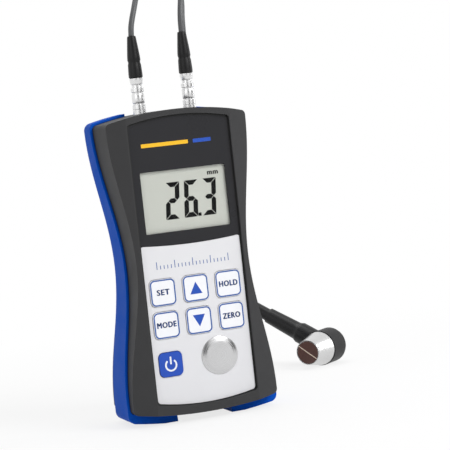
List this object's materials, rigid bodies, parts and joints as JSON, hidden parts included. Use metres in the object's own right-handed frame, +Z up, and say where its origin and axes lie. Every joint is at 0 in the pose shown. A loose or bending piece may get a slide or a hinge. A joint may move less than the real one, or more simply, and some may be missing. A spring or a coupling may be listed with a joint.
{
  "type": "ultrasonic thickness gauge",
  "caption": "Handheld gauge with display, keypad, zero disc and rubber side guards, and a right-angle contact probe on a twin lead with push-pull plugs.",
  "frame": {"origin": "on the standing surface, below the middle of the case between the two guards' feet", "axes": "+Z up along the case, -Y out of the keypad face, +X to the right seen from the front"},
  "size_m": [0.1311, 0.1263, 0.1901],
  "materials": {
    "case_grey": "fine moulded texture",
    "guard_blue": "satin",
    "lens_dark": "printed on the back, smooth",
    "panel_white": "smooth satin film",
    "key_white": "satin, printed blue outline",
    "key_blue": "satin, white printed sign",
    "disc_steel": "fine turned",
    "lcd_glass": "reflective display, dark segments",
    "black_plastic": "moulded",
    "strip_rubber": "striped contact rubber",
    "board_green": "solder mask",
    "chip_black": "moulded",
    "spring_steel": "plain",
    "screw_steel": "plain",
    "cell_label": "plain wrap",
    "lead_red": "plain",
    "lead_white": "plain",
    "plug_nickel": "bright nickel plate",
    "boot_black": "satin",
    "cable_grey": "satin jacket",
    "tie_black": "hook and loop strap",
    "probe_black": "fine moulded texture",
    "ring_steel": "turned",
    "element_brown": "ground flat",
    "barrier_pale": "thin sheet, ground flat"
  },
  "bodies": {
    "gauge": {"front_case": "case_grey", "rear_case": "case_grey", "guard_left": "guard_blue", "guard_right": "guard_blue", "display_lens": "lens_dark", "keypad_panel": "panel_white", "zero_disc": "disc_steel", "lcd_glass": "lcd_glass", "lcd_holder": "black_plastic", "lcd_strips": "strip_rubber", "main_board": "board_green", "board_chips": "chip_black", "key_domes": "spring_steel", "board_screws": "screw_steel", "case_screws": "screw_steel", "battery_cells": "cell_label", "battery_contacts": "spring_steel", "battery_leads": "lead_red", "socket_left": "plug_nickel", "socket_right": "plug_nickel", "socket_nuts": "plug_nickel", "socket_leads": "lead_white", "cable_coil": "cable_grey", "coil_tie": "tie_black", "probe_body": "probe_black", "probe_ring": "ring_steel", "probe_elements": "element_brown", "probe_barrier": "barrier_pale", "probe_boot": "boot_black", "plug_core_left": "plug_nickel", "plug_nut_left": "plug_nickel", "boot_left": "boot_black", "cable_left": "cable_grey", "cable_tail_left": "cable_grey", "plug_core_right": "plug_nickel", "plug_nut_right": "plug_nickel", "boot_right": "boot_black", "cable_right": "cable_grey", "cable_tail_right": "cable_grey"},
    "key_set": {"key_set": "key_white"},
    "key_up": {"key_up": "key_white"},
    "key_hold": {"key_hold": "key_white"},
    "key_mode": {"key_mode": "key_white"},
    "key_down": {"key_down": "key_white"},
    "key_zero": {"key_zero": "key_white"},
    "key_power": {"key_power": "key_blue"},
    "battery_door": {"battery_door": "case_grey"},
    "plug_sleeve_left": {"plug_sleeve_left": "plug_nickel"},
    "plug_sleeve_right": {"plug_sleeve_right": "plug_nickel"}
  },
  "joints": [
    {"name": "key_set_press", "type": "slide", "parent": "gauge", "child": "key_set", "axis": [0, 1, 0], "range_m": [0, 0.0004], "stiffness_N_per_m": 1500, "springref_m": -0.0004},
    {"name": "key_up_press", "type": "slide", "parent": "gauge", "child": "key_up", "axis": [0, 1, 0], "range_m": [0, 0.0004], "stiffness_N_per_m": 1500, "springref_m": -0.0004},
    {"name": "key_hold_press", "type": "slide", "parent": "gauge", "child": "key_hold", "axis": [0, 1, 0], "range_m": [0, 0.0004], "stiffness_N_per_m": 1500, "springref_m": -0.0004},
    {"name": "key_mode_press", "type": "slide", "parent": "gauge", "child": "key_mode", "axis": [0, 1, 0], "range_m": [0, 0.0004], "stiffness_N_per_m": 1500, "springref_m": -0.0004},
    {"name": "key_down_press", "type": "slide", "parent": "gauge", "child": "key_down", "axis": [0, 1, 0], "range_m": [0, 0.0004], "stiffness_N_per_m": 1500, "springref_m": -0.0004},
    {"name": "key_zero_press", "type": "slide", "parent": "gauge", "child": "key_zero", "axis": [0, 1, 0], "range_m": [0, 0.0004], "stiffness_N_per_m": 1500, "springref_m": -0.0004},
    {"name": "key_power_press", "type": "slide", "parent": "gauge", "child": "key_power", "axis": [0, 1, 0], "range_m": [0, 0.0004], "stiffness_N_per_m": 1500, "springref_m": -0.0004},
    {"name": "battery_door_hinge", "type": "hinge", "parent": "gauge", "child": "battery_door", "pos_m": [0, 0.0141, 0.01095], "axis": [-1, 0, 0], "range_deg": [0, 75]},
    {"name": "plug_sleeve_left_pull", "type": "slide", "parent": "gauge", "child": "plug_sleeve_left", "axis": [0, 0, 1], "range_m": [0, 0.0012], "stiffness_N_per_m": 1000, "springref_m": -0.0006},
    {"name": "plug_sleeve_right_pull", "type": "slide", "parent": "gauge", "child": "plug_sleeve_right", "axis": [0, 0, 1], "range_m": [0, 0.0012], "stiffness_N_per_m": 1000, "springref_m": -0.0006}
  ]
}
